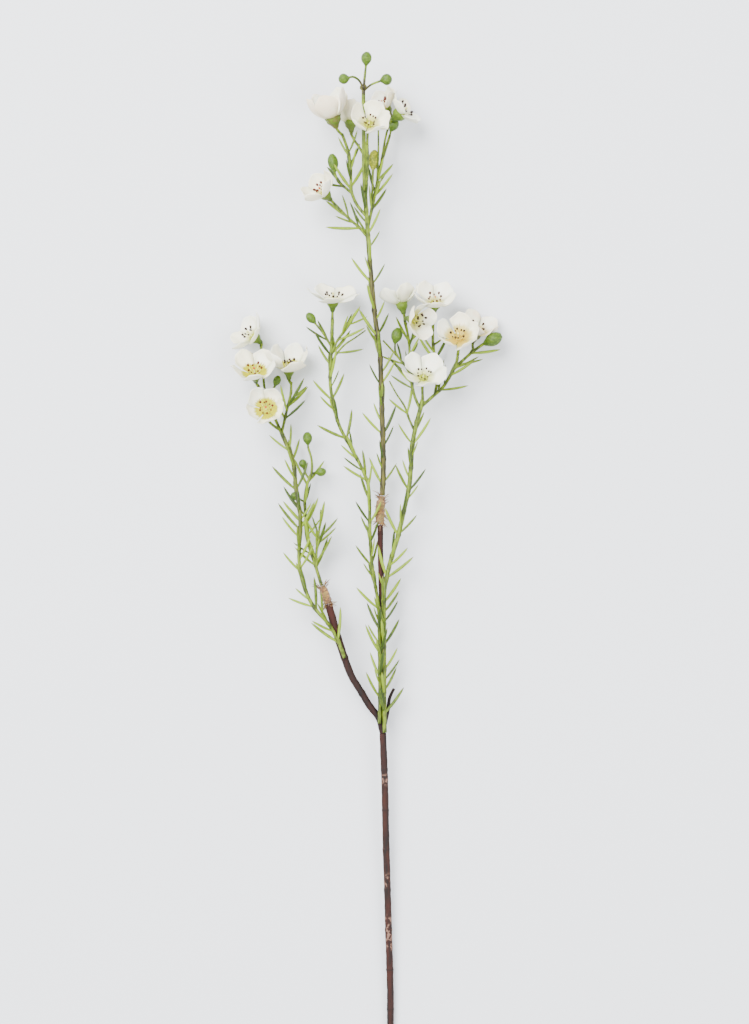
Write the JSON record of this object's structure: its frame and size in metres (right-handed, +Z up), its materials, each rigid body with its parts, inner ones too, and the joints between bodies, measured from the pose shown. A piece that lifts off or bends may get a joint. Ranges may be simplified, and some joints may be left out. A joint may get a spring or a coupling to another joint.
{
  "type": "waxflower stem",
  "caption": "Cut waxflower stem lying on a surface: brown woody stem, taped-on green needle sprays, white cup blooms and round green buds.",
  "frame": {"origin": "middle of the stem's outline in plan, on the surface it lies on", "axes": "+Y along the stem from the cut end to the top bud, +X to the right as pictured, +Z up from the surface towards the viewer"},
  "size_m": [0.1834, 0.6702, 0.0592],
  "materials": {
    "bark": "matte reddish-brown bark with pale worn patches",
    "tape": "fibrous pinkish-tan florist tape, frayed",
    "leaf": "satin moulded green, olive to yellow-green",
    "petal": "waxy cream white with faint pink and green tints",
    "throat": "yellow-green throat with brown-tipped stamens"
  },
  "bodies": {
    "root": {"main_stem": "bark", "upper_collar": "tape", "left_collar": "tape", "top_spray": "leaf", "right_spray": "leaf", "centre_spray": "leaf", "left_spray": "leaf", "left_bud_spray": "leaf", "bloom_t1_petals": "petal", "bloom_t2_petals": "petal", "bloom_t3_petals": "petal", "bloom_t4_petals": "petal", "bloom_t5_petals": "petal", "bloom_t6_petals": "petal", "bloom_c1_petals": "petal", "bloom_r1_petals": "petal", "bloom_r2_petals": "petal", "bloom_r3_petals": "petal", "bloom_r4_petals": "petal", "bloom_r5_petals": "petal", "bloom_r6_petals": "petal", "bloom_l1_petals": "petal", "bloom_l2_petals": "petal", "bloom_l3_petals": "petal", "bloom_l4_petals": "petal", "bloom_t1_centre": "throat", "bloom_t2_centre": "throat", "bloom_t3_centre": "throat", "bloom_t4_centre": "throat", "bloom_t5_centre": "throat", "bloom_t6_centre": "throat", "bloom_c1_centre": "throat", "bloom_r1_centre": "throat", "bloom_r2_centre": "throat", "bloom_r3_centre": "throat", "bloom_r4_centre": "throat", "bloom_r5_centre": "throat", "bloom_r6_centre": "throat", "bloom_l1_centre": "throat", "bloom_l2_centre": "throat", "bloom_l3_centre": "throat", "bloom_l4_centre": "throat"}
  },
  "joints": []
}
